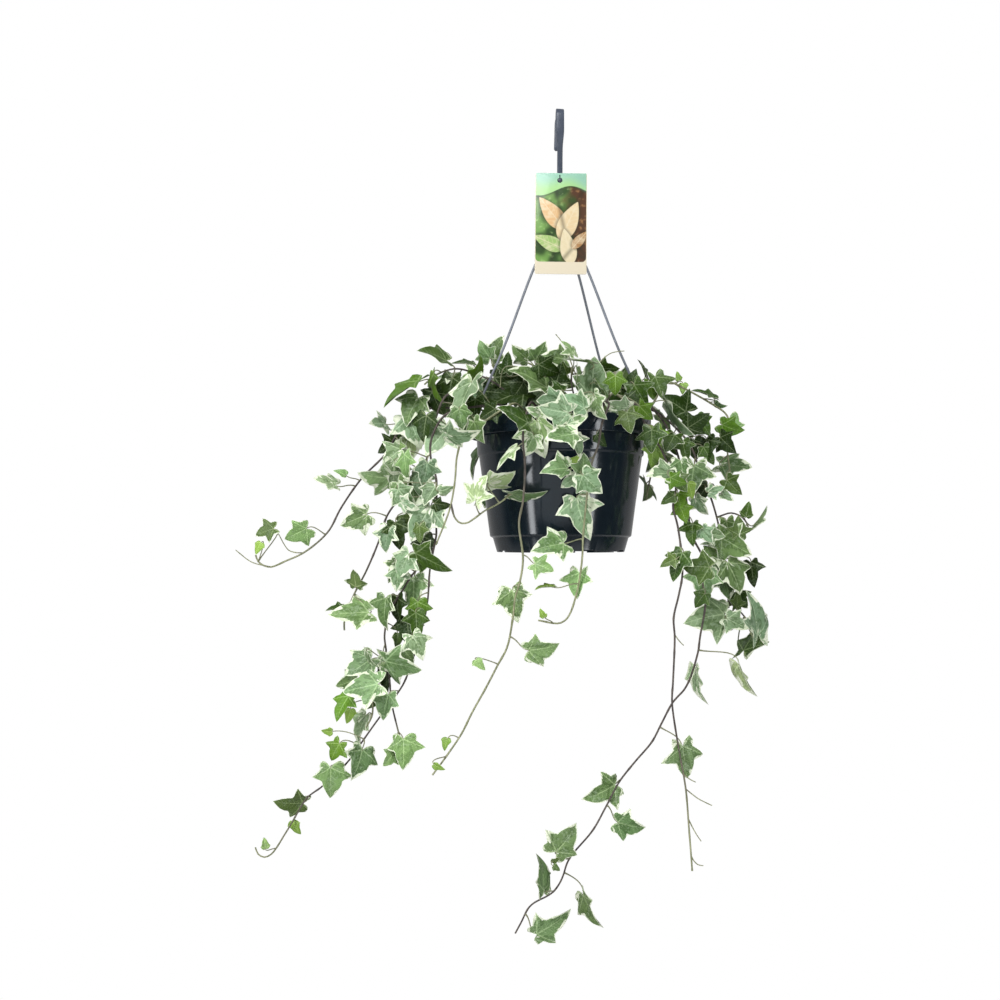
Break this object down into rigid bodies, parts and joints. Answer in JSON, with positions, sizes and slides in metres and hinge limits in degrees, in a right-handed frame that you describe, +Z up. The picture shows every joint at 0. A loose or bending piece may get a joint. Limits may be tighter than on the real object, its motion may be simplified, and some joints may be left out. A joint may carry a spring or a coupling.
{
  "type": "potted variegated english ivy",
  "caption": "Trailing variegated ivy rooted in a dark plastic pot that hangs by thin arms from a moulded hook, with a printed plant tag on the hook's stem.",
  "frame": {"origin": "inside of the hook's crown, where a rod bears", "axes": "+Z up; +X to the right and -Y towards the viewer of the side where most stems trail"},
  "size_m": [0.5328, 0.2638, 0.8277],
  "materials": {
    "pot_plastic": "dark blue-grey moulded plastic, half gloss",
    "potting_soil": "dark crumbly peat and bark, dull",
    "hanger_plastic": "dark grey moulded plastic, half gloss",
    "tag_plastic": "thin printed plastic card, glossy",
    "ivy_foliage": "leathery green leaves with cream margins and woody stems, half gloss"
  },
  "bodies": {
    "root": {"pot": "pot_plastic", "soil": "potting_soil", "hanger_hook": "hanger_plastic", "hanger_arm_left": "hanger_plastic", "hanger_arm_right": "hanger_plastic", "hanger_arm_back": "hanger_plastic", "plant_tag": "tag_plastic", "ivy_stem_far_left": "ivy_foliage", "ivy_stem_left_outer": "ivy_foliage", "ivy_stem_left_inner": "ivy_foliage", "ivy_stem_centre_left": "ivy_foliage", "ivy_stem_centre": "ivy_foliage", "ivy_shoot_front": "ivy_foliage", "ivy_stem_centre_right": "ivy_foliage", "ivy_stem_right_long": "ivy_foliage", "ivy_stem_right_trailing": "ivy_foliage", "ivy_stem_right_main": "ivy_foliage", "ivy_stem_right_arching": "ivy_foliage", "ivy_shoot_left_high": "ivy_foliage", "ivy_shoot_left_back": "ivy_foliage", "ivy_shoot_middle": "ivy_foliage", "ivy_shoot_middle_right": "ivy_foliage", "ivy_shoot_right_front": "ivy_foliage", "ivy_shoot_right": "ivy_foliage", "ivy_shoot_back_left": "ivy_foliage", "ivy_shoot_back": "ivy_foliage", "ivy_shoot_back_right": "ivy_foliage", "ivy_stem_back_left": "ivy_foliage", "ivy_stem_back_middle": "ivy_foliage", "ivy_stem_back_right": "ivy_foliage", "ivy_stem_back_side": "ivy_foliage"}
  },
  "joints": []
}
